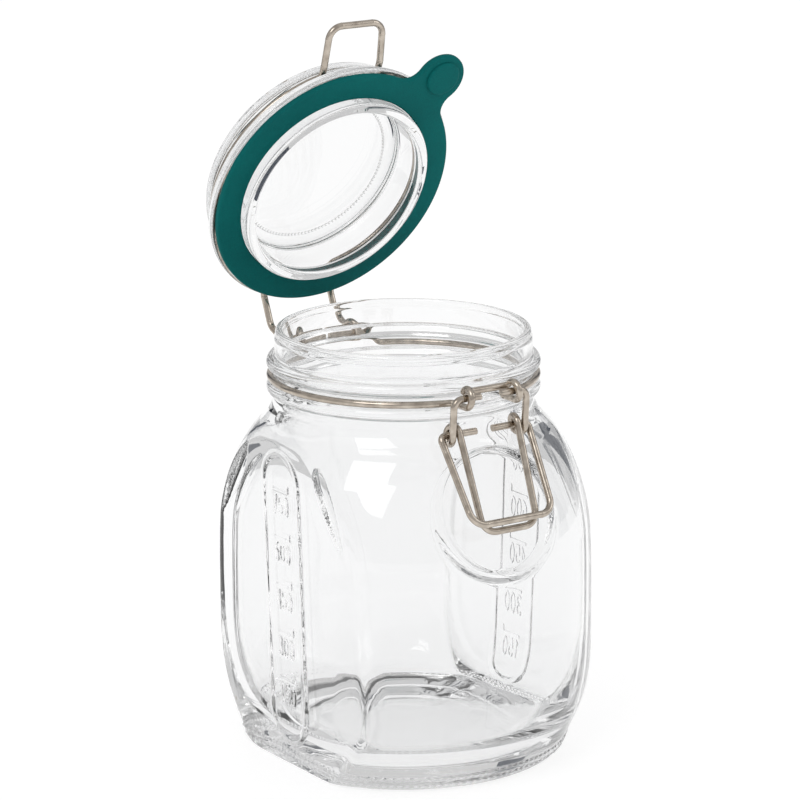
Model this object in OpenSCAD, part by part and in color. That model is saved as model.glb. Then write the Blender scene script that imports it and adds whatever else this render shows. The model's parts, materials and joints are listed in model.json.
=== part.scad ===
// Bail clamp jar: a glass storage jar with a glass lid, a rubber seal and a wire clamp.
// Frame: origin at the centre of the foot on the table, +Z up, the clamp at the front (-Y),
// the hinge at the back (+Y) and the two measuring flats at the sides (+X and -X).
// The lid stands open, and the lever and the latch link hang down the front.

/* [Jar body] */
// Outside diameter of the neck
neck_od = 85; // [84:0.5:86]
// Height of the rim above the table
rim_h = 142.8; // [141:0.2:145]
// Inside diameter of the mouth
mouth_d = 79.2; // [76:0.4:80]
// Thickness of the glass wall
wall = 3.3; // [2.5:0.1:4]
// Thickness of the glass foot
foot_t = 8; // [6:0.5:12]
// Half the distance between the two flats, at the table
flat_low = 44.9; // [43:0.1:46]
// Half the distance between the two flats, at the rim
flat_high = 49.6; // [48:0.1:51]

/* [Measuring strip] */
// Width of the raised strip on each flat
strip_w = 24; // [18:1:28]
// Height of the strip's lower end
strip_z0 = 7; // [6:0.5:12]
// Height of the strip's upper end
strip_z1 = 108; // [100:1:110]
// How far the strip stands off the flat
strip_t = 0.7; // [0.4:0.1:1]

/* [Finger recess] */
// Radius of the round recess under the clamp
recess_r = 21; // [17:0.5:22]
// Height of the recess's centre
recess_z = 92.5; // [88:0.5:95]
// Backward lean of the recess's floor, in degrees
recess_tilt = 21.7; // [18:0.1:25]
// Distance from the jar's axis to the centre of the recess's floor
recess_y = 52.6; // [51.5:0.1:55]

/* [Lid] */
// Angle between the closed lid and the lid as it stands, in degrees
lid_open = 66.5; // [0:0.5:70]
// Radius of the lid's side wall
lid_r = 41; // [40:0.1:41.5]
// Radius of the lid's flange
flange_r = 45.2; // [44:0.1:46]
// Thickness of the lid's flange
flange_t = 3; // [2.6:0.1:3.4]
// Height of the lid above its flange's lower face
lid_h = 13.8; // [12:0.2:16]
// Radius of the plug that the seal fits round
plug_r = 34.9; // [33:0.1:36]
// How far the plug reaches below the seal
plug_h = 3.4; // [2:0.2:5]
// Radius of the hollow under the lid
hollow_r = 31; // [28:0.5:32]

/* [Seal] */
// Outside radius of the rubber ring
seal_r = 44.2; // [43:0.1:45]
// Thickness of the rubber ring
seal_t = 2.2; // [1.8:0.1:2.6]
// Distance from the ring's centre to the centre of the pull tab
tab_y = 50.8; // [49:0.2:53]
// Radius of the pull tab's end
tab_r = 9.3; // [8:0.1:10]
// Angle from the clamp round to the pull tab, in degrees
tab_turn = 40; // [30:1:60]

/* [Wire] */
// Diameter of the steel wire
wire_d = 2.3; // [2:0.1:2.4]
// Half the width of the lever's bottom bar
lever_half_w = 10.4; // [9.5:0.1:11]
// Length of the lever's long legs
lever_len = 33; // [31:0.5:35]
// Half the width of the latch link's bottom bar
link_half_w = 15.3; // [14.5:0.1:16]
// Length of the latch link from its pins to its bar
link_len = 31; // [30.4:0.2:33]
// Half the distance between the lid wire's two legs
leg_half_w = 13.1; // [12.8:0.1:13.4]
// Distance from the lid's axis to the tip of the lid wire's tongue
tongue_y = 58.5; // [56:0.5:60]

/* [Hidden] */

glass = [0.86, 0.93, 0.92, 0.45];
silicone = [0.03, 0.40, 0.39];
steel = [0.68, 0.65, 0.61];

neck_r = neck_od / 2;
mouth_r = mouth_d / 2;
wire_r = wire_d / 2;
far = 200;                               // longer than anything it has to cut

// Neck: two beads with the wire's groove between them
bead_r = 2.05;
bead_out = 45.2;
bead_low_z = 123.6;
bead_high_z = 131.6;
groove_z = 127.2;
neck_wire_r = neck_r + 0.3 + wire_r;
rim_round = 1.4;

// Hinge at the back: a bar cranked out of the neck wire, as [y, z]
hinge = [50.3, 130.5];
eye_r = 2.7;                             // of the lid wire's eyes, to the middle of the wire
// Clamp: the lever turns in the neck wire's eyelets, the link in the lever's coils
eyelet_x = 9.5;
eyelet_r = 2.9;
eyelet = [-50.2, groove_z + eyelet_r];
coil = [-46.6, 117.8];
coil_r = 2.75;
coil_x0 = 14;                            // outer end of the lever's coil
coil_x1 = 11.4;                          // its inner end, where the long leg starts
link_x = 17;
lever_lean = 22.6;                       // of the long legs from straight down
link_lean = 33.3;

seal_z0 = rim_h + 0.2;
seal_z1 = seal_z0 + seal_t;
seal_in_r = plug_r + 0.2;
lid_wire_r = lid_r + 0.3 + wire_r;
lid_wire_z = seal_z1 + flange_t + 0.3 + wire_r;

// ---- curves ----

// Point of a cubic curve with four control points
function cubic(c, t) =
    pow(1 - t, 3) * c[0] + 3 * t * pow(1 - t, 2) * c[1] + 3 * t * t * (1 - t) * c[2] + pow(t, 3) * c[3];

// Points of a chain of cubic curves, without each curve's last point
function chain(curves, n) = [for (c = curves) for (i = [0:n - 1]) cubic(c, i / n)];

// Outside of the jar from the foot to the neck, as [radius, height]
outer_curves = [
    [[50, 0], [52.6, 0], [53.6, 2.4], [54.8, 5.8]],
    [[54.8, 5.8], [58.4, 12.6], [63, 22], [62.9, 40]],
    [[62.9, 40], [62.85, 52], [62.9, 66], [62.1, 77]],
    [[62.1, 77], [61.2, 88], [56, 101.5], [49.2, 110]],
    [[49.2, 110], [46.4, 112.6], [44, 115], [43, 119.6]]
];

// Inside of the jar from its floor to the mouth
inner_curves = [
    [[34, foot_t], [44, foot_t], [50, foot_t + 3], [54, foot_t + 10]],
    [[54, foot_t + 10], [58, foot_t + 18], [62.9 - wall, 34], [62.9 - wall, 46]],
    [[62.9 - wall, 46], [62.9 - wall, 60], [62.6 - wall, 70], [62.1 - wall, 76]],
    [[62.1 - wall, 76], [60.6 - wall, 88], [54.4 - wall, 100], [48.4 - wall, 106]],
    [[48.4 - wall, 106], [44 - wall, 110], [mouth_r - 0.2, 112], [mouth_r, 119]]
];

// ---- bent wire ----

function unit(v) = v / norm(v);
// Any direction square to d
function square_to(d) = unit(cross(d, abs(d[0]) > 0.9 ? [0, 1, 0] : [1, 0, 0]));
// Angle of the bend at point i of a path
function bend_angle(p, i) = acos(unit(p[i] - p[i - 1]) * unit(p[i + 1] - p[i]));
// Length that a bend of radius r takes off each leg at point i
function bend_cut(p, r, i) = (i <= 0 || i >= len(p) - 1) ? 0 : r[i] * tan(bend_angle(p, i) / 2);

// Frame with its axes along x, y and z and its origin at o
module in_frame(x, y, z, o) {
    multmatrix([[x[0], y[0], z[0], o[0]], [x[1], y[1], z[1], o[1]], [x[2], y[2], z[2], o[2]]]) children();
}

// Straight stretch of wire
module wire_leg(a, b) {
    d = unit(b - a);
    x = square_to(d);
    in_frame(x, cross(d, x), d, a) cylinder(h = norm(b - a), r = wire_r, $fn = 24);
}

// Round stretch of wire: starts at a, heads along d, curves towards n
module wire_bend(a, d, n, r, angle) {
    in_frame(-n, d, cross(-n, d), a + r * n)
        rotate_extrude(angle = angle, $fn = 48) translate([r, 0]) circle(r = wire_r, $fn = 24);
}

// Ball that closes the seam between two stretches at p, where the wire heads along d
module knuckle(p, d) {
    x = square_to(d);
    in_frame(x, cross(d, x), d, p) rotate([0, 0, 37]) sphere(r = wire_r + 0.04, $fn = 24);
}

// Wire through the points p, with a bend of radius r[i] at point i
module bent_wire(p, r) {
    for (i = [0:len(p) - 2]) {
        d = unit(p[i + 1] - p[i]);
        a = p[i] + d * bend_cut(p, r, i);
        b = p[i + 1] - d * bend_cut(p, r, i + 1);
        if (norm(b - a) > 0.02) wire_leg(a, b);
        if (i > 0) knuckle(a, d);
        if (i < len(p) - 2 && norm(b - a) > 0.02) knuckle(b, d);
    }
    for (i = [1:len(p) - 2]) {
        d = unit(p[i] - p[i - 1]);
        e = unit(p[i + 1] - p[i]);
        wire_bend(p[i] - d * bend_cut(p, r, i), d, unit(e - (e * d) * d), r[i], bend_angle(p, i));
    }
}

// Point where a wire heading h degrees from +Y, up the X axis, touches a coil about c = [y, z];
// side is 1 when it winds from +Y towards +Z, -1 the other way
function on_coil(c, rad, h, side, x) = [x, c[0] + rad * cos(h - 90 * side), c[1] + rad * sin(h - 90 * side)];

// Corners of a coil about c: the wire comes in heading h degrees from +Y and turns by turn
// degrees in n bends, moving from x0 to x1 on the way
function coil_points(c, rad, h, turn, n, x0, x1) =
    let (q = rad / cos(turn / n / 2), side = sign(turn))
    [for (i = [0:n - 1]) on_coil(c, q, h + turn * (i + 0.5) / n, side, x0 + (x1 - x0) * i / (n - 1))];

function rep(v, n) = [for (i = [1:n]) v];
function reversed(r) = [for (i = [len(r) - 1:-1:0]) r[i]];
// Mirror image of a path across the YZ plane, walked the other way
function mirrored(p) = [for (q = reversed(p)) [-q[0], q[1], q[2]]];
// Point at height z, angle a from +Y and radius r about the jar's axis, on the side of -X
function ring_point(r, a, z) = [-r * sin(a), r * cos(a), z];
// Where a straight line from p along d reaches x
function at_x(p, d, x) = p + d * ((x - p[0]) / d[0]);

// A wire through p and on through its mirror image
module mirrored_wire(p, r) {
    bent_wire(concat(p, mirrored(p)), concat(r, reversed(r)));
}

// Both a shape and its mirror image across the YZ plane
module both_sides() {
    children();
    mirror([1, 0, 0]) children();
}

// Both halves of a ring of wire about the jar's axis, from angle a0 round to a1 from +Y
module ring_halves(r, z, a0, a1) {
    both_sides() {
        rotate([0, 0, 90 + a0]) translate([0, 0, z]) rotate_extrude(angle = a1 - a0, $fn = 120)
            translate([r, 0]) circle(r = wire_r, $fn = 24);
        for (a = [a0, a1]) knuckle(ring_point(r, a, z), [cos(a), sin(a), 0]);
    }
}

// ---- jar ----

module neck_profile() {
    polygon([[0, 119], [neck_r, 119], [neck_r, rim_h - rim_round], [neck_r - rim_round, rim_h], [0, rim_h]]);
    translate([neck_r - rim_round, rim_h - rim_round]) circle(r = rim_round, $fn = 32);
    for (z = [bead_low_z, bead_high_z]) translate([bead_out - bead_r, z]) circle(r = bead_r, $fn = 32);
}

module outer_profile() {
    polygon(concat([[0, 0]], chain(outer_curves, 8), [[43, 119.6], [43, 123], [0, 123]]));
    neck_profile();
}

module inner_profile() {
    polygon(concat([[0, foot_t + 1]], chain(inner_curves, 7), [[mouth_r, 119], [mouth_r, far], [0, far]]));
}

// Space between the two flats, drawn in by inset
module between_flats(inset) {
    x0 = flat_low - inset;
    x1 = flat_high - inset;
    rotate([90, 0, 0]) translate([0, 0, -far / 2]) linear_extrude(far)
        polygon([[-x0 + 1, -1], [x0 - 1, -1], [x0, 2.4], [x1, rim_h], [x1, far], [-x1, far], [-x1, rim_h],
                 [-x0, 2.4]]);
}

// Raised strip with its graduation marks, on the flat at +X
module measuring_strip() {
    lean = atan((flat_high - flat_low) / rim_h);
    translate([flat_low, 0, 0]) rotate([0, lean, 0]) rotate([90, 0, 90]) translate([0, 0, -1]) {
        linear_extrude(1 + strip_t) {
            translate([-strip_w / 2, strip_z0 + strip_w / 2])
                square([strip_w, strip_z1 - strip_z0 - strip_w]);
            for (z = [strip_z0 + strip_w / 2, strip_z1 - strip_w / 2])
                translate([0, z]) circle(d = strip_w, $fn = 48);
        }
        for (i = [1:5]) translate([-7, 20 + 16.3 * i - 8, 0]) cube([14, 0.9, 1.3 + strip_t]);
    }
}

// Space of the round recess in the front, grown by grow
module finger_recess(grow) {
    translate([0, -recess_y, recess_z]) rotate([90 - recess_tilt, 0, 0])
        translate([0, 0, -grow]) cylinder(h = 20 + grow, r = recess_r + grow, $fn = 64);
}

module jar_body() {
    color(glass) difference() {
        union() {
            intersection() {
                rotate_extrude($fn = 120) outer_profile();
                between_flats(0);
            }
            both_sides() measuring_strip();
        }
        difference() {
            intersection() {
                rotate_extrude($fn = 120) inner_profile();
                between_flats(wall);
            }
            finger_recess(wall);
        }
        finger_recess(0);
    }
}

// ---- lid ----

// Everything on the lid is drawn closed, then swung open about the hinge
module swung_open() {
    translate([0, hinge[0], hinge[1]])
        rotate([-lid_open, 0, 0])
            translate([0, -hinge[0], -hinge[1]]) children();
}

module lid_profile() {
    top = seal_z1 + lid_h;
    edge = 2.6;
    difference() {
        union() {
            translate([0, seal_z1]) square([flange_r - 1.2, flange_t]);
            translate([0, seal_z1 + 1.2]) square([flange_r, flange_t - 2.4]);
            for (z = [seal_z1 + 1.2, seal_z1 + flange_t - 1.2])
                translate([flange_r - 1.2, z]) circle(r = 1.2, $fn = 24);
            translate([0, seal_z0 - plug_h]) square([plug_r, plug_h + seal_t + 1]);
            translate([0, seal_z1 + 1]) square([lid_r, lid_h - 1 - edge]);
            translate([0, seal_z1 + 1]) square([lid_r - edge, lid_h - 1]);
            translate([lid_r - edge, top - edge]) circle(r = edge, $fn = 32);
        }
        translate([-1, seal_z0 - plug_h - 1]) square([hollow_r + 1, top - 4.2 - seal_z0 + plug_h + 1]);
        translate([-1, top - 0.7]) square([35.5, 2]);
    }
}

module glass_lid() {
    color(glass) swung_open() rotate_extrude($fn = 120) lid_profile();
}

module seal_ring() {
    fillet = 6;
    bite = 0.1;                          // how far each fillet's circle crosses its neighbours
    a = seal_r + fillet - bite;
    b = tab_r + fillet - bite;
    // The fillet's centre lies a from the ring's centre and b from the tab's
    fy = (a * a - b * b + tab_y * tab_y) / (2 * tab_y);
    fx = sqrt(a * a - fy * fy);
    color(silicone) swung_open() rotate([0, 0, tab_turn]) {
        translate([0, 0, seal_z0]) linear_extrude(seal_t) difference() {
            union() {
                circle(r = seal_r, $fn = 120);
                translate([0, -tab_y]) circle(r = tab_r, $fn = 48);
                difference() {
                    polygon([[0, 0], [fx, -fy], [0, -tab_y], [-fx, -fy]]);
                    for (s = [-1, 1]) translate([s * fx, -fy]) circle(r = fillet, $fn = 48);
                }
            }
            circle(r = seal_in_r, $fn = 120);
        }
        translate([0, -tab_y - 0.9, seal_z0 - 0.9]) cylinder(h = 1.2, r = 6.2, $fn = 48);
    }
}

// ---- wires ----

// Neck wire: sits in the groove, with two eyelets at the front and the hinge pins at the back
module neck_wire() {
    back_a = 27;                         // where the ring starts and ends, in degrees from +Y
    front_a = 161;
    crank_len = 3.4;                     // from the ring out to the hinge pin
    pin_x0 = -16.6;                      // ends of each hinge pin
    pin_x1 = -1;
    loop_w = 0.8;                        // across the turns of each eyelet
    bar_lead = 1.6;                      // straight piece between a loop and the bar's bend
    f = ring_point(neck_wire_r, front_a, groove_z);
    turn_in = at_x(f, [-cos(front_a), -sin(front_a), 0], -eyelet_x);
    b = ring_point(neck_wire_r, back_a, groove_z);
    crank = b + crank_len * [cos(back_a), sin(back_a), 0];
    loop = coil_points(eyelet, eyelet_r, 180, -220, 3, -eyelet_x, -eyelet_x + loop_w);
    // The bar between the eyelets leaves each loop behind the lever's pin
    bar = on_coil(eyelet, eyelet_r, -40, -1, -eyelet_x + loop_w) + bar_lead * [0, cos(40), -sin(40)];
    color(steel) {
        ring_halves(neck_wire_r, groove_z, back_a, front_a);
        mirrored_wire(concat([f, turn_in], loop, [bar]), concat([0, 1.6], rep(0.95 * eyelet_r, 3), [1.4]));
        both_sides()
            bent_wire([b, crank, [pin_x0, hinge[0], hinge[1]], [pin_x1, hinge[0], hinge[1]]], [0, 2.2, 2, 0]);
    }
}

// Lid wire: round the lid above its flange, with the tongue in front and two hinge legs behind
module lid_wire() {
    back_a = 24;
    front_a = 160;
    base_x = -10.9;                      // the tongue's legs, at the ring and at the bar
    base_y = -44.9;
    tip_x = -10.15;
    tip_rise = 2.6;                      // of the tongue's bar over the ring
    leg_top_y = 45.4;                    // the hinge legs leave the lid here
    leg_low_rise = 11;                   // and straighten this far over the hinge
    eye_w = 2.6;                         // across the turns of each eye
    z = lid_wire_z;
    f = ring_point(lid_wire_r, front_a, z);
    b = ring_point(lid_wire_r, back_a, z);
    turn_out = at_x(f, [-cos(front_a), -sin(front_a), 0], base_x);
    turn_back = at_x(b, [cos(back_a), sin(back_a), 0], -leg_half_w);
    leg_y = hinge[0] + eye_r;
    leg_low = hinge[1] + leg_low_rise;
    in_x = -leg_half_w + eye_w;
    eye = coil_points(hinge, eye_r, -90, -300, 4, -leg_half_w, in_x);
    color(steel) swung_open() {
        ring_halves(lid_wire_r, z, back_a, front_a);
        mirrored_wire(
            [f, turn_out, [base_x, base_y, z], [tip_x, -tongue_y, z + tip_rise]],
            [0, 1.6, 3, 4.5]);
        both_sides()
            bent_wire(
                concat([b, turn_back, [-leg_half_w, leg_top_y, z], [-leg_half_w, leg_y, leg_low]], eye,
                       [on_coil(hinge, eye_r, -390, -1, in_x)]),
                concat([0, 1.6, 2, 4], rep(0.97 * eye_r, 4), [0]));
    }
}

// Lever: turns in the eyelets, winds once round at each side to carry the link, and ends in a loop
module lever() {
    reach = coil - eyelet;
    h = atan2(reach[1], reach[0]) - asin(coil_r / norm(reach));
    out = 270 - lever_lean;
    foot = on_coil(coil, coil_r, out, 1, lever_half_w) + lever_len * [0, cos(out), sin(out)];
    color(steel)
        mirrored_wire(
            concat([[4, eyelet[0], eyelet[1]], [coil_x0, eyelet[0], eyelet[1]]],
                   coil_points(coil, coil_r, h, out - h, 4, coil_x0, coil_x1), [foot]),
            concat([0, 3], rep(0.97 * coil_r, 4), [5]));
}

// Latch link: turns in the lever's coils and hooks over the lid wire's tongue
module latch_link() {
    bar = coil - link_len * [sin(link_lean), cos(link_lean)];
    color(steel)
        mirrored_wire(
            [[3.2, coil[0], coil[1]], [link_x, coil[0], coil[1]], [link_half_w, bar[0], bar[1]]],
            [0, 1.7, 5]);
}

jar_body();
glass_lid();
seal_ring();
lid_wire();
neck_wire();
lever();
latch_link();
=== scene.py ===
"""Looks of the bail clamp jar: glass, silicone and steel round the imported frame."""
import json
import math

import bmesh
import bpy
import numpy as np
from mathutils import Matrix, Vector


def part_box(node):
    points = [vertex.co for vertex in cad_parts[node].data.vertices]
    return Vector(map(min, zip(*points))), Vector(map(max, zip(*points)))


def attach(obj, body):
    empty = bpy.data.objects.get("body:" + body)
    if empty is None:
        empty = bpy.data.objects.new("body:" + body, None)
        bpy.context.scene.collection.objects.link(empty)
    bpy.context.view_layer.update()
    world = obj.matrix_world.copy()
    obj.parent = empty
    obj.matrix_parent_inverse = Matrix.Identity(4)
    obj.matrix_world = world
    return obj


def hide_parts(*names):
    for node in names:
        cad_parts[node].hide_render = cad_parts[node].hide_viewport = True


MM = 0.001
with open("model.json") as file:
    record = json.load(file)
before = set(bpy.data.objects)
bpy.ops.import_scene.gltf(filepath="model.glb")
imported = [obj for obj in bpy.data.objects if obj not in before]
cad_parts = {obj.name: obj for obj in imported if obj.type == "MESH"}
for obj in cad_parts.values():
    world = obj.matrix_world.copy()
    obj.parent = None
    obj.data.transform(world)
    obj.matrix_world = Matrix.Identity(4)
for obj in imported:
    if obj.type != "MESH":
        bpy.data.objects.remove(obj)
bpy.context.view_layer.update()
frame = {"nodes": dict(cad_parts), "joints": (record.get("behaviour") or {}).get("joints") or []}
nodes = frame["nodes"]
joints = {j["name"]: j for j in frame["joints"]}


# ---- sizes in millimetres ----

RIM_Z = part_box("jar_body")[1][2] / MM
NECK_R = 42.5
MOUTH_R = 39.6
RIM_ROUND = 1.4
BEAD_R = 2.05
BEAD_OUT = 45.2
BEAD_LOW_Z = 123.6
BEAD_HIGH_Z = 131.6
WALL = 3.3
FOOT_T = 8.0
FLAT_LOW = 44.9                 # half the distance between the flats, at the table
FLAT_HIGH = 49.6                # and at the rim
OUTER_R = 62.9
HEEL_EASE = 0.3                 # how much the inside's flats follow the round heel
STRIP_HALF = 11.6               # measuring strip on each flat
STRIP_Z0 = 7.0
STRIP_Z1 = 108.0
STRIP_RISE = 0.65
TICK_PITCH = 16.3
FIRST_TICK_Z = 29.0
TICKS = 5
TICK_ML = 150
RECESS_R = 21.0                 # finger recess under the clamp
RECESS_Z = 92.5
RECESS_Y = 52.6
RECESS_TILT = math.radians(21.7)

LEAF_TOP = (21.4, 105.8)        # leaf-shaped marks on the four shoulders: y and z of their ends
LEAF_LOW = (38.4, 76.5)
LEAF_W = 3.8
LEAF_D = 2.6
STIPPLE_COUNT = 132             # bumps in each row round the heel
STIPPLE_ROWS = ((2.4, 0.0), (4.7, 0.5))     # height of each row, and its shift in bumps
STIPPLE_RISE = 0.5
NUMBER_RISE = 0.36              # how far the scale's numbers and marks stand up

HINGE = Vector(joints["lid_hinge"]["pos_m"])
LID_OPEN = math.radians(joints["lid_hinge"]["range_deg"][1])
SEAL_Z0 = RIM_Z + 0.2
SEAL_T = 2.2
SEAL_Z1 = SEAL_Z0 + SEAL_T
SEAL_GAP = 0.08                 # keeps the drawn seal's face off the glass
SEAL_R = 44.2
SEAL_IN_R = 35.1
TAB_Y = 50.8
TAB_R = 9.3
TAB_TURN = math.radians(40)
BUTTON_R = 6.2                  # raised button under the pull tab
BUTTON_H = 0.92
BUTTON_SHIFT = 0.9
FLANGE_R = 45.2
FLANGE_T = 3.0
LID_R = 41.0
LID_H = 13.8
PLUG_R = 34.9
PLUG_H = 3.4
HOLLOW_R = 31.0
DOT_RING_R = 27.2               # ring of dots on top of the lid
DOTS = 128
DOT_RISE = 0.4
LID_STEPS = 640                 # points round the lid


# ---- outlines, as points [radius, height] ----

def cubic(c, t):
    """Point of a cubic curve with four control points."""
    u = 1 - t
    return tuple(
        u ** 3 * a + 3 * t * u * u * b + 3 * t * t * u * d + t ** 3 * e for a, b, d, e in zip(*c)
    )


def arc(cx, cy, r, a0, a1, n):
    """n + 1 points round (cx, cy) from a0 to a1 degrees."""
    angles = [math.radians(a0 + (a1 - a0) * i / n) for i in range(n + 1)]
    return [(cx + r * math.cos(a), cy + r * math.sin(a)) for a in angles]


def chain(curves, n=24):
    return [cubic(c, i / n) for c in curves for i in range(n)]


def resample(points, step):
    """Points along an outline, at most step apart, closer where step(r, z) says so."""
    out = [points[0]]
    for a, b in zip(points, points[1:]):
        gap = math.dist(a, b)
        n = max(1, math.ceil(gap / step((a[0] + b[0]) / 2, (a[1] + b[1]) / 2) - 0.2))
        if gap < 1e-4:
            continue
        out += [(a[0] + (b[0] - a[0]) * i / n, a[1] + (b[1] - a[1]) * i / n) for i in range(1, n + 1)]
    return out


OUTER_CURVES = [
    [(50, 0), (52.6, 0), (53.6, 2.4), (54.8, 5.8)],
    [(54.8, 5.8), (58.4, 12.6), (63, 22), (62.9, 40)],
    [(62.9, 40), (62.85, 52), (62.9, 66), (62.1, 77)],
    [(62.1, 77), (61.2, 88), (56, 101.5), (49.2, 110)],
    [(49.2, 110), (46.4, 112.6), (44, 115), (43, 119.6)],
]
INNER_CURVES = [
    [(34, FOOT_T), (44, FOOT_T), (50, FOOT_T + 3), (54, FOOT_T + 10)],
    [(54, FOOT_T + 10), (58, FOOT_T + 18), (62.9 - WALL, 34), (62.9 - WALL, 46)],
    [(62.9 - WALL, 46), (62.9 - WALL, 60), (62.6 - WALL, 70), (62.1 - WALL, 76)],
    [(62.1 - WALL, 76), (60.6 - WALL, 88), (54.4 - WALL, 100), (48.4 - WALL, 106)],
    [(48.4 - WALL, 106), (44 - WALL, 110), (MOUTH_R - 0.2, 112), (MOUTH_R, 119)],
]
# Push-up of the foot, from the centre out
PUSH_UP = [(0.01, 3.6), (12, 3.5), (22, 3.1), (30, 2.2), (36, 0.9), (40, 0.25), (44, 0.02), (50, 0)]


def bead(z, n=14):
    return arc(BEAD_OUT - BEAD_R, z, BEAD_R, -84, 84, n)


def outside_outline():
    """Outside of the jar, from the middle of the foot up to the rim."""
    pts = PUSH_UP[:-1] + chain(OUTER_CURVES) + [(42.9, 120.6)]
    pts += [(NECK_R + 0.1, 121.3)] + bead(BEAD_LOW_Z) + [(NECK_R + 0.1, 126.2), (NECK_R + 0.1, 129.0)]
    pts += bead(BEAD_HIGH_Z) + [(NECK_R + 0.15, 134.1), (NECK_R, 135)]
    pts += [(NECK_R, 139.6), (NECK_R - 0.1, 140.0), (NECK_R - 0.35, 140.35), (NECK_R - 0.4, 140.8)]
    return pts + arc(NECK_R - 0.4 - RIM_ROUND, RIM_Z - RIM_ROUND, RIM_ROUND, 0, 90, 8)


def inside_outline():
    """Inside of the jar, from the rim down to the middle of the floor."""
    pts = arc(MOUTH_R + 1.0, RIM_Z - 1.0, 1.0, 90, 180, 6) + [(MOUTH_R, 136), (MOUTH_R - 0.1, 126)]
    down = chain(INNER_CURVES)[::-1]
    return pts + down + [(24, FOOT_T - 0.2), (12, FOOT_T - 0.8), (0.01, FOOT_T - 1.1)]


# ---- small numeric helpers ----

def smooth(x, lo, hi):
    t = np.clip((x - lo) / (hi - lo), 0, 1)
    return t * t * (3 - 2 * t)


def soft_min(a, b, k):
    h = np.clip(0.5 + 0.5 * (b - a) / k, 0, 1)
    return b * (1 - h) + a * h - k * h * (1 - h)


def to_segment(px, py, a, b):
    """Distance of points to the segment from a to b."""
    dx, dy = b[0] - a[0], b[1] - a[1]
    t = np.clip(((px - a[0]) * dx + (py - a[1]) * dy) / max(dx * dx + dy * dy, 1e-9), 0, 1)
    return np.hypot(px - a[0] - t * dx, py - a[1] - t * dy)


# ---- numbers of the measuring scale, as strokes in a box 1 wide and 1.7 high ----

def loop(cx, cy, rx, ry, a0=0, a1=360, n=14):
    angles = [math.radians(a0 + (a1 - a0) * i / n) for i in range(n + 1)]
    return [(cx + rx * math.cos(a), cy + ry * math.sin(a)) for a in angles]


DIGITS = {
    "0": [loop(0.5, 0.85, 0.38, 0.8)],
    "1": [[(0.3, 1.4), (0.55, 1.65), (0.55, 0.05)]],
    "3": [loop(0.45, 1.27, 0.36, 0.38, 140, -90, 9) + loop(0.45, 0.46, 0.4, 0.43, 90, -145, 9)],
    "4": [[(0.72, 0.05), (0.72, 1.65), (0.08, 0.55), (0.95, 0.55)]],
    "5": [[(0.85, 1.65), (0.22, 1.65), (0.16, 0.95)] + loop(0.45, 0.56, 0.4, 0.5, 125, -145, 10)],
    "6": [loop(0.5, 0.52, 0.37, 0.47), [(0.14, 0.6), (0.22, 1.15), (0.5, 1.5), (0.75, 1.66)]],
    "7": [[(0.1, 1.65), (0.9, 1.65), (0.38, 0.05)]],
}
DIGIT_W = 3.1
DIGIT_H = 3.9                   # of one unit of the stroke box
STROKE = 0.32


def scale_height(u, z):
    """How far the numbers and the marks stand up; u runs to the right as the scale is read."""
    near = np.full(u.shape, 9.0)
    for i in range(TICKS):
        tick_z = FIRST_TICK_Z + TICK_PITCH * i
        inside = np.abs(z - tick_z + 2) < 9
        if not inside.any():
            continue
        uu, zz = u[inside], z[inside]
        best = to_segment(uu, zz, (-4.6, tick_z), (4.8, tick_z))
        best = np.minimum(best, to_segment(uu, zz, (4.8, tick_z), (4.8, tick_z + 2.2)))
        for k, digit in enumerate(str(TICK_ML * (i + 1))):
            x0 = -4.9 + k * 3.35
            z0 = tick_z - 8.2
            for stroke in DIGITS[digit]:
                pts = [(x0 + p[0] * DIGIT_W, z0 + p[1] * DIGIT_H) for p in stroke]
                for a, b in zip(pts, pts[1:]):
                    best = np.minimum(best, to_segment(uu, zz, a, b))
        near[inside] = np.minimum(near[inside], best)
    return NUMBER_RISE * (1 - smooth(near, STROKE * 0.45, STROKE * 1.5))


# ---- meshes ----

def make_object(name, verts, faces, material, body, replaces=()):
    mesh = bpy.data.meshes.new(name)
    mesh.from_pydata([tuple(v) for v in verts], [], faces)
    mesh.update()
    obj = bpy.data.objects.new(name, mesh)
    bpy.context.scene.collection.objects.link(obj)
    mesh.materials.append(material)
    mesh.polygons.foreach_set("use_smooth", [True] * len(mesh.polygons))
    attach(obj, body)
    if replaces:
        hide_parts(*replaces)
    return obj


def ring_faces(rows, cols, start=0):
    """Quads between rows of cols points that close round."""
    faces = []
    for i in range(rows - 1):
        a = start + i * cols
        b = a + cols
        for j in range(cols):
            k = (j + 1) % cols
            faces.append((a + j, a + k, b + k, b + j))
    return faces


def jar_angles():
    """Angles round the jar from +X, closer together on the flats."""
    quarter = [0.0]
    while quarter[-1] < math.pi / 2:
        quarter.append(quarter[-1] + math.radians(0.42 if quarter[-1] < math.radians(16) else 0.8))
    q = np.array(quarter) * (math.pi / 2 / quarter[-1])
    half = np.concatenate([q, math.pi - q[-2:0:-1]])
    return np.concatenate([half, half + math.pi])


def flat_at(z):
    return FLAT_LOW + (FLAT_HIGH - FLAT_LOW) * z / RIM_Z


def recess_depth(x, z, grow):
    """Weight of the finger recess and the y of its floor, at places on the front."""
    up = (z - RECESS_Z) / math.cos(RECESS_TILT)
    d = np.hypot(x, up) - (RECESS_R + grow)
    floor_y = -RECESS_Y + (z - RECESS_Z) * math.tan(RECESS_TILT) + grow / math.cos(RECESS_TILT)
    return 1 - smooth(d, -1.6, 0.5), floor_y


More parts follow.
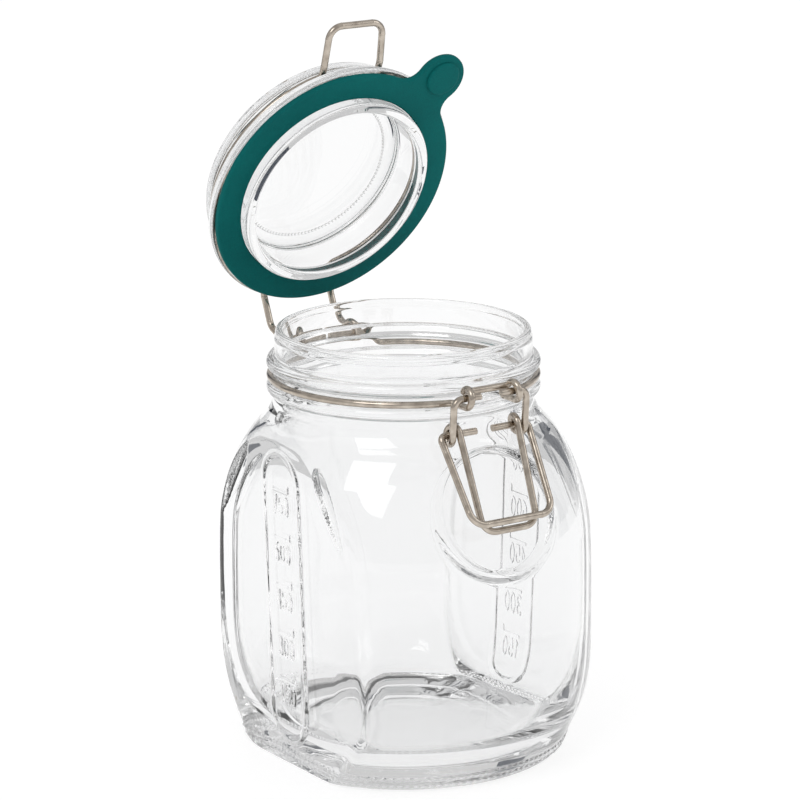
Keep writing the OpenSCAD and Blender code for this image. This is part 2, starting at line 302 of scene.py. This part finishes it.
def jar_points(outline, angles, outside):
    r = np.array([p[0] for p in outline])[:, None]
    z = np.array([p[1] for p in outline])[:, None] + np.zeros_like(angles)[None, :]
    c, s = np.cos(angles)[None, :], np.sin(angles)[None, :]
    flat = flat_at(z) - (0 if outside else WALL)
    if not outside:
        flat = flat - HEEL_EASE * (OUTER_R - WALL - r) * (z < 40)
    reach = flat / np.maximum(np.abs(c), 1e-3)
    r = soft_min(r + 0 * reach, reach, 1.6 if outside else 9.0)
    x, y = r * c, r * s
    weight, floor_y = recess_depth(x, z, 0 if outside else WALL)
    weight = np.where((y < 0) & (z > 60) & (z < 119), weight, 0)
    y = np.where((y < floor_y) & (weight > 0), y + (floor_y - y) * weight, y)
    if outside:
        side = (np.abs(x) > flat - 0.6) & (z < 112)
        mid = np.clip(z, STRIP_Z0 + STRIP_HALF, STRIP_Z1 - STRIP_HALF)
        edge = np.hypot(y, z - mid) - STRIP_HALF
        rise = STRIP_RISE * (1 - smooth(edge, -1.0, 0.3)) - 0.35 * (1 - smooth(edge, -3.2, -1.8))
        u = np.where(x < 0, y * -1, y)
        rise = rise + scale_height(u, z) * (edge < -1.5)
        x = np.where(side, x + np.sign(x) * rise, x)
        x, y = stipple(x, y, z)
        x, y = leaf_marks(x, y, z)
    return np.stack([x, y, z], axis=-1).reshape(-1, 3)


def leaf_marks(x, y, z):
    """Leaf-shaped facets where the flats run into the round front and back."""
    t = np.clip((LEAF_TOP[1] - z) / (LEAF_TOP[1] - LEAF_LOW[1]), 0, 1)
    mid = LEAF_TOP[0] + (LEAF_LOW[0] - LEAF_TOP[0]) * t
    half = LEAF_W * np.sin(np.pi * np.clip(t, 0.02, 0.98) ** 0.6)
    depth = LEAF_D * half / LEAF_W * np.clip(1 - ((np.abs(y) - mid) / half) ** 4, 0, 1)
    depth = np.where((t > 0) & (t < 1) & (np.abs(x) > 40), depth, 0)
    r = np.hypot(x, y)
    return x - depth * x / r, y - depth * y / r


def stipple(x, y, z):
    """Rows of small bumps round the heel, where the jar slides on the belt."""
    r = np.hypot(x, y)
    a = np.arctan2(y, x)
    amount = np.zeros_like(r)
    pitch = 2 * math.pi / STIPPLE_COUNT
    for z_mid, shift in STIPPLE_ROWS:
        along = (np.mod(a / pitch + shift, 1) - 0.5) * pitch * r
        amount += STIPPLE_RISE * (1 - smooth(np.hypot(along, z - z_mid), 0.15, 0.85))
    amount = np.where((r > 40) & (z > 0.3) & (z < 6.5), amount, 0)
    return x + amount * np.cos(a), y + amount * np.sin(a)


def jar_step(r, z):
    if r > 40 and z < 6.5:
        return 0.45
    return 0.62 if z < 112 else 0.5


def make_jar(material):
    angles = jar_angles()
    outside = resample(outside_outline(), lambda r, z: 3.0 if r < 38 else jar_step(r, z))
    inside = resample(inside_outline(), lambda r, z: 1.6)
    verts = np.concatenate([jar_points(outside, angles, True), jar_points(inside, angles, False)])
    n = len(angles)
    rows = len(outside) + len(inside)
    faces = ring_faces(rows, n)
    faces.append(tuple(range(n))[::-1])
    faces.append(tuple((rows - 1) * n + i for i in range(n)))
    return make_object("jar_glass", verts * MM, faces, material, "base", ["jar_body"])


def swing(verts):
    """From the closed lid's place to the open one."""
    m = Matrix.Translation(HINGE) @ Matrix.Rotation(-LID_OPEN, 4, "X") @ Matrix.Translation(-HINGE)
    r = np.array(m.to_3x3())
    t = np.array(m.translation)
    return verts @ r.T + t


def lid_outline():
    """Closed outline of the lid, from the middle of its underside round to the middle of its top."""
    top = SEAL_Z1 + LID_H
    low = SEAL_Z0 - PLUG_H
    pts = [(0.01, top - 4.3), (20, top - 4.2)]
    pts += arc(HOLLOW_R - 3, top - 7.2, 3, 90, 0, 8)
    pts += [(HOLLOW_R + 0.2, low + 3)] + arc(HOLLOW_R + 1.5, low + 1.2, 1.2, 180, 270, 6)
    pts += arc(PLUG_R - 1.4, low + 1.4, 1.4, 270, 360, 6) + [(PLUG_R, SEAL_Z1 - 0.4)]
    pts += [(PLUG_R + 0.4, SEAL_Z1)] + arc(FLANGE_R - 1.2, SEAL_Z1 + 1.2, 1.2, 270, 360, 6)
    pts += arc(FLANGE_R - 1.2, SEAL_Z1 + FLANGE_T - 1.2, 1.2, 0, 90, 6)
    pts += [(LID_R + 0.5, SEAL_Z1 + FLANGE_T), (LID_R, SEAL_Z1 + FLANGE_T + 0.5)]
    pts += arc(LID_R - 2.8, top - 2.8, 2.8, 0, 90, 9) + [(36.2, top)]
    pts += [(35.4, top - 0.5), (34.8, top - 0.75), (20, top - 0.8), (0.01, top - 0.8)]
    return pts


def lid_step(r, z):
    if z > SEAL_Z1 + LID_H - 1.5 and DOT_RING_R - 1.5 < r < DOT_RING_R + 1.5:
        return 0.35
    return 0.9 if r > 24 else 3


def make_lid(material):
    n = LID_STEPS
    angles = np.linspace(0, 2 * math.pi, n, endpoint=False)
    outline = resample(lid_outline(), lid_step)
    r = np.array([p[0] for p in outline])[:, None] + 0 * angles[None, :]
    z = np.array([p[1] for p in outline])[:, None] + 0 * angles[None, :]
    top = SEAL_Z1 + LID_H - 0.8
    pitch = 2 * math.pi / DOTS
    along = (np.mod(angles[None, :] / pitch, 1) - 0.5) * pitch * DOT_RING_R
    d = np.hypot(along, r - DOT_RING_R)
    z = z + np.where(np.abs(z - top) < 0.4, DOT_RISE * (1 - smooth(d, 0.15, 0.62)), 0)
    verts = np.stack([r * np.cos(angles), r * np.sin(angles), z], axis=-1).reshape(-1, 3) * MM
    rows = len(outline)
    faces = ring_faces(rows, n)
    faces.append(tuple(range(n))[::-1])
    faces.append(tuple((rows - 1) * n + i for i in range(n)))
    return make_object("lid_glass", swing(verts), faces, material, "lid", ["glass_lid"])


def seal_edge(n):
    """Outer edge of the seal, anticlockwise: the ring, two fillets and the pull tab."""
    fillet = 6.0
    a = SEAL_R + fillet
    b = TAB_R + fillet
    fy = (a * a - b * b + TAB_Y * TAB_Y) / (2 * TAB_Y)
    fx = math.sqrt(a * a - fy * fy)
    ring_a = math.degrees(math.atan2(-fy, fx))
    tab_a = math.degrees(math.atan2(-fy + TAB_Y, fx))
    pts = arc(0, 0, SEAL_R, ring_a, 180 - ring_a, n)[:-1]
    left_ring = math.degrees(math.atan2(fy, fx))
    left_tab = math.degrees(math.atan2(fy - TAB_Y, fx))
    pts += arc(-fx, -fy, fillet, left_ring, left_tab, 8)[:-1]
    pts += arc(0, -TAB_Y, TAB_R, 180 - tab_a, 360 + tab_a, 36)[:-1]
    pts += arc(fx, -fy, fillet, 180 - left_tab, 180 - left_ring, 8)[:-1]
    return pts


def make_seal(material):
    edge = seal_edge(200)
    n = len(edge)
    # a ray from the ring's middle meets the tab's neck once, so the inner edge follows the same angles
    inner = []
    for x, y in edge:
        d = math.hypot(x, y)
        inner.append((x / d * SEAL_IN_R, y / d * SEAL_IN_R))
    normals = []
    for i in range(n):
        ax, ay = edge[i - 1]
        bx, by = edge[(i + 1) % n]
        d = math.hypot(bx - ax, by - ay)
        normals.append(((by - ay) / d, -(bx - ax) / d))
    round_r = 0.75
    top = SEAL_Z1 - SEAL_GAP
    half = (top - SEAL_Z0) / 2
    verts = []

    def row(points, z):
        verts.extend((x, y, z) for x, y in points)

    def pushed(amount):
        return [(x - nx * amount, y - ny * amount) for (x, y), (nx, ny) in zip(edge, normals)]

    def inner_at(r_add):
        return [(x * (1 + r_add / SEAL_IN_R), y * (1 + r_add / SEAL_IN_R)) for x, y in inner]

    mid = SEAL_Z0 + half
    steps = [math.radians(a) for a in (0, 22, 45, 68, 90)]
    for a in steps:
        row(inner_at(round_r * (1 - math.cos(a))), mid - half + round_r - round_r * math.sin(a))
    for f in (0.33, 0.66):
        row([(p[0] + (q[0] - p[0]) * f, p[1] + (q[1] - p[1]) * f)
             for p, q in zip(inner_at(round_r), pushed(round_r))], SEAL_Z0)
    for a in reversed(steps):
        row(pushed(round_r * (1 - math.cos(a))), mid - half + round_r - round_r * math.sin(a))
    for a in steps:
        row(pushed(round_r * (1 - math.cos(a))), mid + half - round_r + round_r * math.sin(a))
    for f in (0.33, 0.66):
        row([(p[0] + (q[0] - p[0]) * f, p[1] + (q[1] - p[1]) * f)
             for p, q in zip(pushed(round_r), inner_at(round_r))], top)
    for a in reversed(steps):
        row(inner_at(round_r * (1 - math.cos(a))), mid + half - round_r + round_r * math.sin(a))
    rows = len(verts) // n
    faces = ring_faces(rows, n)
    faces += [((rows - 1) * n + j, (rows - 1) * n + (j + 1) % n, (j + 1) % n, j) for j in range(n)]
    # button on the underside of the tab
    start = len(verts)
    low = SEAL_Z0 - BUTTON_H
    profile = [(BUTTON_R, SEAL_Z0 + 0.4), (BUTTON_R, low + 0.57), (BUTTON_R - 0.15, low + 0.27),
               (BUTTON_R - 0.5, low + 0.07), (BUTTON_R - 1, low), (3.0, low), (0.01, low)]
    m = 64
    centre_y = -TAB_Y - BUTTON_SHIFT
    button = [(r * math.cos(2 * math.pi * j / m), centre_y + r * math.sin(2 * math.pi * j / m), z)
              for r, z in profile for j in range(m)]
    button_faces = [f[::-1] for f in ring_faces(len(profile), m, start)]
    button_faces.append(tuple(start + j for j in range(m)))
    button_faces.append(tuple(start + (len(profile) - 1) * m + j for j in range(m))[::-1])
    verts_all = np.array(verts + button)
    c, s = math.cos(TAB_TURN), math.sin(TAB_TURN)
    turned = verts_all @ np.array([[c, -s, 0], [s, c, 0], [0, 0, 1]]).T
    all_faces = faces + button_faces
    return make_object("seal", swing(turned * MM), all_faces, material, "lid", ["seal_ring"])


def recalculate(obj):
    """Turns every face outwards."""
    bm = bmesh.new()
    bm.from_mesh(obj.data)
    bmesh.ops.recalc_face_normals(bm, faces=bm.faces)
    bm.to_mesh(obj.data)
    bm.free()


# ---- materials ----

JAR_RIPPLE = 0.25               # strength of the glass's slow waves
LID_RIPPLE = 0.06


def new_material(name):
    m = bpy.data.materials.new(name)
    m.use_nodes = True
    return m, m.node_tree.nodes, m.node_tree.links, m.node_tree.nodes["Principled BSDF"]


def glass_material(name, ripple):
    m, n, links, p = new_material(name)
    p.inputs["Base Color"].default_value = (0.943, 0.945, 0.947, 1)
    p.inputs["Transmission Weight"].default_value = 1
    p.inputs["Roughness"].default_value = 0.0
    p.inputs["IOR"].default_value = 1.5
    noise = n.new("ShaderNodeTexNoise")
    noise.inputs["Scale"].default_value = 28
    noise.inputs["Detail"].default_value = 1.5
    coord = n.new("ShaderNodeTexCoord")
    bump = n.new("ShaderNodeBump")
    bump.inputs["Strength"].default_value = ripple
    bump.inputs["Distance"].default_value = 0.0012
    links.new(coord.outputs["Object"], noise.inputs["Vector"])
    links.new(noise.outputs["Fac"], bump.inputs["Height"])
    links.new(bump.outputs["Normal"], p.inputs["Normal"])
    return m


def silicone_material():
    m, n, links, p = new_material("silicone")
    coord = n.new("ShaderNodeTexCoord")
    fine = n.new("ShaderNodeTexNoise")
    fine.inputs["Scale"].default_value = 2600
    fine.inputs["Detail"].default_value = 3
    broad = n.new("ShaderNodeTexNoise")
    broad.inputs["Scale"].default_value = 35
    ramp = n.new("ShaderNodeValToRGB")
    ramp.color_ramp.elements[0].position = 0.3
    ramp.color_ramp.elements[0].color = (0.0, 0.088, 0.088, 1)
    ramp.color_ramp.elements[1].position = 0.75
    ramp.color_ramp.elements[1].color = (0.0, 0.15, 0.142, 1)
    links.new(coord.outputs["Object"], fine.inputs["Vector"])
    links.new(coord.outputs["Object"], broad.inputs["Vector"])
    mix = n.new("ShaderNodeMath")
    mix.operation = "MULTIPLY_ADD"
    mix.inputs[1].default_value = 0.6
    links.new(fine.outputs["Fac"], mix.inputs[0])
    half = n.new("ShaderNodeMath")
    half.operation = "MULTIPLY"
    half.inputs[1].default_value = 0.4
    links.new(broad.outputs["Fac"], half.inputs[0])
    links.new(half.outputs[0], mix.inputs[2])
    links.new(mix.outputs[0], ramp.inputs["Fac"])
    links.new(ramp.outputs["Color"], p.inputs["Base Color"])
    p.inputs["Roughness"].default_value = 0.75
    p.inputs["Specular IOR Level"].default_value = 0.12
    bump = n.new("ShaderNodeBump")
    bump.inputs["Strength"].default_value = 0.35
    bump.inputs["Distance"].default_value = 0.0001
    links.new(fine.outputs["Fac"], bump.inputs["Height"])
    links.new(bump.outputs["Normal"], p.inputs["Normal"])
    return m


def steel_material():
    m, n, links, p = new_material("stainless_wire")
    coord = n.new("ShaderNodeTexCoord")
    noise = n.new("ShaderNodeTexNoise")
    noise.inputs["Scale"].default_value = 320
    noise.inputs["Detail"].default_value = 4
    ramp = n.new("ShaderNodeValToRGB")
    ramp.color_ramp.elements[0].position = 0.3
    ramp.color_ramp.elements[0].color = (0.36, 0.31, 0.26, 1)
    ramp.color_ramp.elements[1].position = 0.7
    ramp.color_ramp.elements[1].color = (0.60, 0.535, 0.46, 1)
    links.new(coord.outputs["Object"], noise.inputs["Vector"])
    links.new(noise.outputs["Fac"], ramp.inputs["Fac"])
    links.new(ramp.outputs["Color"], p.inputs["Base Color"])
    p.inputs["Metallic"].default_value = 1
    rough = n.new("ShaderNodeMapRange")
    rough.inputs["To Min"].default_value = 0.16
    rough.inputs["To Max"].default_value = 0.28
    links.new(noise.outputs["Fac"], rough.inputs["Value"])
    links.new(rough.outputs["Result"], p.inputs["Roughness"])
    bump = n.new("ShaderNodeBump")
    bump.inputs["Strength"].default_value = 0.15
    bump.inputs["Distance"].default_value = 0.00008
    links.new(noise.outputs["Fac"], bump.inputs["Height"])
    links.new(bump.outputs["Normal"], p.inputs["Normal"])
    return m


# ---- studio ----

VIEW_BACK = Vector((-0.534, -0.808, 0.248)).normalized()       # from the aim towards the camera
VIEW_RIGHT = Vector((0.834, -0.551, 0)).normalized()
AIM = VIEW_RIGHT * -0.00119 + Vector((0, 0, 0.1177))
DISTANCE = 1.340
LENS = 183.0
ROLL = math.radians(-0.23)
GLASS_BOUNCES = 18
FLOOR_SIZE = 12
FLOOR_GAP = 0.0002              # under the foot, so that the two faces don't touch
WORLD_STRENGTH = 0.62
LIGHT_TARGET = (0, 0, 0.1)
KEY_WATTS = 8
FILL_WATTS = 3
CARD_ANGLES = (112, 152, 208, 248)          # degrees round the jar from the camera
CARD_DISTANCE = 0.62
CARD_Z = 0.37
CARD_SIZE = (0.12, 0.6, 1)


def make_camera():
    data = bpy.data.cameras.new("camera")
    data.lens = LENS
    data.sensor_width = 36
    data.clip_start = 0.05
    cam = bpy.data.objects.new("camera", data)
    bpy.context.scene.collection.objects.link(cam)
    up = VIEW_BACK.cross(VIEW_RIGHT).normalized()
    right = up.cross(VIEW_BACK).normalized()
    turn = Matrix.Rotation(ROLL, 4, "Z")
    basis = Matrix((right, up, VIEW_BACK)).transposed().to_4x4()
    cam.matrix_world = Matrix.Translation(AIM + VIEW_BACK * DISTANCE) @ basis @ turn
    bpy.context.scene.camera = cam


def area_light(name, place, target, size, power):
    data = bpy.data.lights.new(name, "AREA")
    data.shape = "RECTANGLE"
    data.size, data.size_y = size
    data.energy = power
    obj = bpy.data.objects.new(name, data)
    obj.location = place
    obj.rotation_euler = (Vector(target) - Vector(place)).to_track_quat("-Z", "Y").to_euler()
    bpy.context.scene.collection.objects.link(obj)


def floor_material():
    m, _, _, p = new_material("floor_white")
    p.inputs["Base Color"].default_value = (0.3, 0.3, 0.3, 1)
    p.inputs["Roughness"].default_value = 0.7
    p.inputs["Specular IOR Level"].default_value = 0.15
    p.inputs["Emission Color"].default_value = (1, 1, 1, 1)
    p.inputs["Emission Strength"].default_value = 0.8
    return m


def card_material():
    m, _, _, p = new_material("dark_card")
    p.inputs["Base Color"].default_value = (0.05, 0.06, 0.08, 1)
    p.inputs["Roughness"].default_value = 0.9
    p.inputs["Specular IOR Level"].default_value = 0.1
    return m


def make_floor():
    bpy.ops.mesh.primitive_plane_add(size=FLOOR_SIZE)
    floor = bpy.context.object
    floor.name = "floor"
    floor.location = (0, 0, -FLOOR_GAP)
    floor.data.materials.append(floor_material())


def make_world():
    world = bpy.data.worlds.new("studio")
    bpy.context.scene.world = world
    world.use_nodes = True
    background = world.node_tree.nodes["Background"]
    background.inputs["Color"].default_value = (1, 1, 1, 1)
    background.inputs["Strength"].default_value = WORLD_STRENGTH


def make_cards():
    """Dark cards round the jar, unseen by the camera, that give the glass its edges."""
    card = card_material()
    camera_a = math.atan2(VIEW_BACK.y, VIEW_BACK.x)
    for k, off in enumerate(CARD_ANGLES):
        a = camera_a + math.radians(off)
        bpy.ops.mesh.primitive_plane_add(size=1)
        obj = bpy.context.object
        obj.name = f"card_{k}"
        obj.scale = CARD_SIZE
        obj.rotation_euler = (math.pi / 2, 0, a + math.pi / 2)
        obj.location = Vector((math.cos(a), math.sin(a), 0)) * CARD_DISTANCE + Vector((0, 0, CARD_Z))
        obj.data.materials.append(card)
        obj.visible_camera = False
        obj.visible_shadow = False
        obj.visible_diffuse = False


def make_studio():
    make_floor()
    make_world()
    make_cards()
    area_light("key", (-1.2, -0.6, 1.6), LIGHT_TARGET, (0.9, 0.9), KEY_WATTS)
    area_light("fill", (1.3, -0.9, 1.0), LIGHT_TARGET, (0.6, 1.0), FILL_WATTS)


def light_paths():
    """Thick glass guides light a long way before it leaves, so its paths are followed further."""
    cycles = bpy.context.scene.cycles
    cycles.max_bounces = GLASS_BOUNCES
    cycles.transmission_bounces = GLASS_BOUNCES
    cycles.glossy_bounces = GLASS_BOUNCES


bpy.context.scene.view_settings.view_transform = "Standard"
make_camera()
make_studio()
light_paths()
recalculate(make_jar(glass_material("clear_glass", JAR_RIPPLE)))
recalculate(make_lid(glass_material("lid_clear_glass", LID_RIPPLE)))
recalculate(make_seal(silicone_material()))
steel = steel_material()
for name in ("lid_wire", "neck_wire", "lever", "latch_link"):
    nodes[name].data.materials.clear()
    nodes[name].data.materials.append(steel)
    nodes[name].data.polygons.foreach_set("use_smooth", [True] * len(nodes[name].data.polygons))
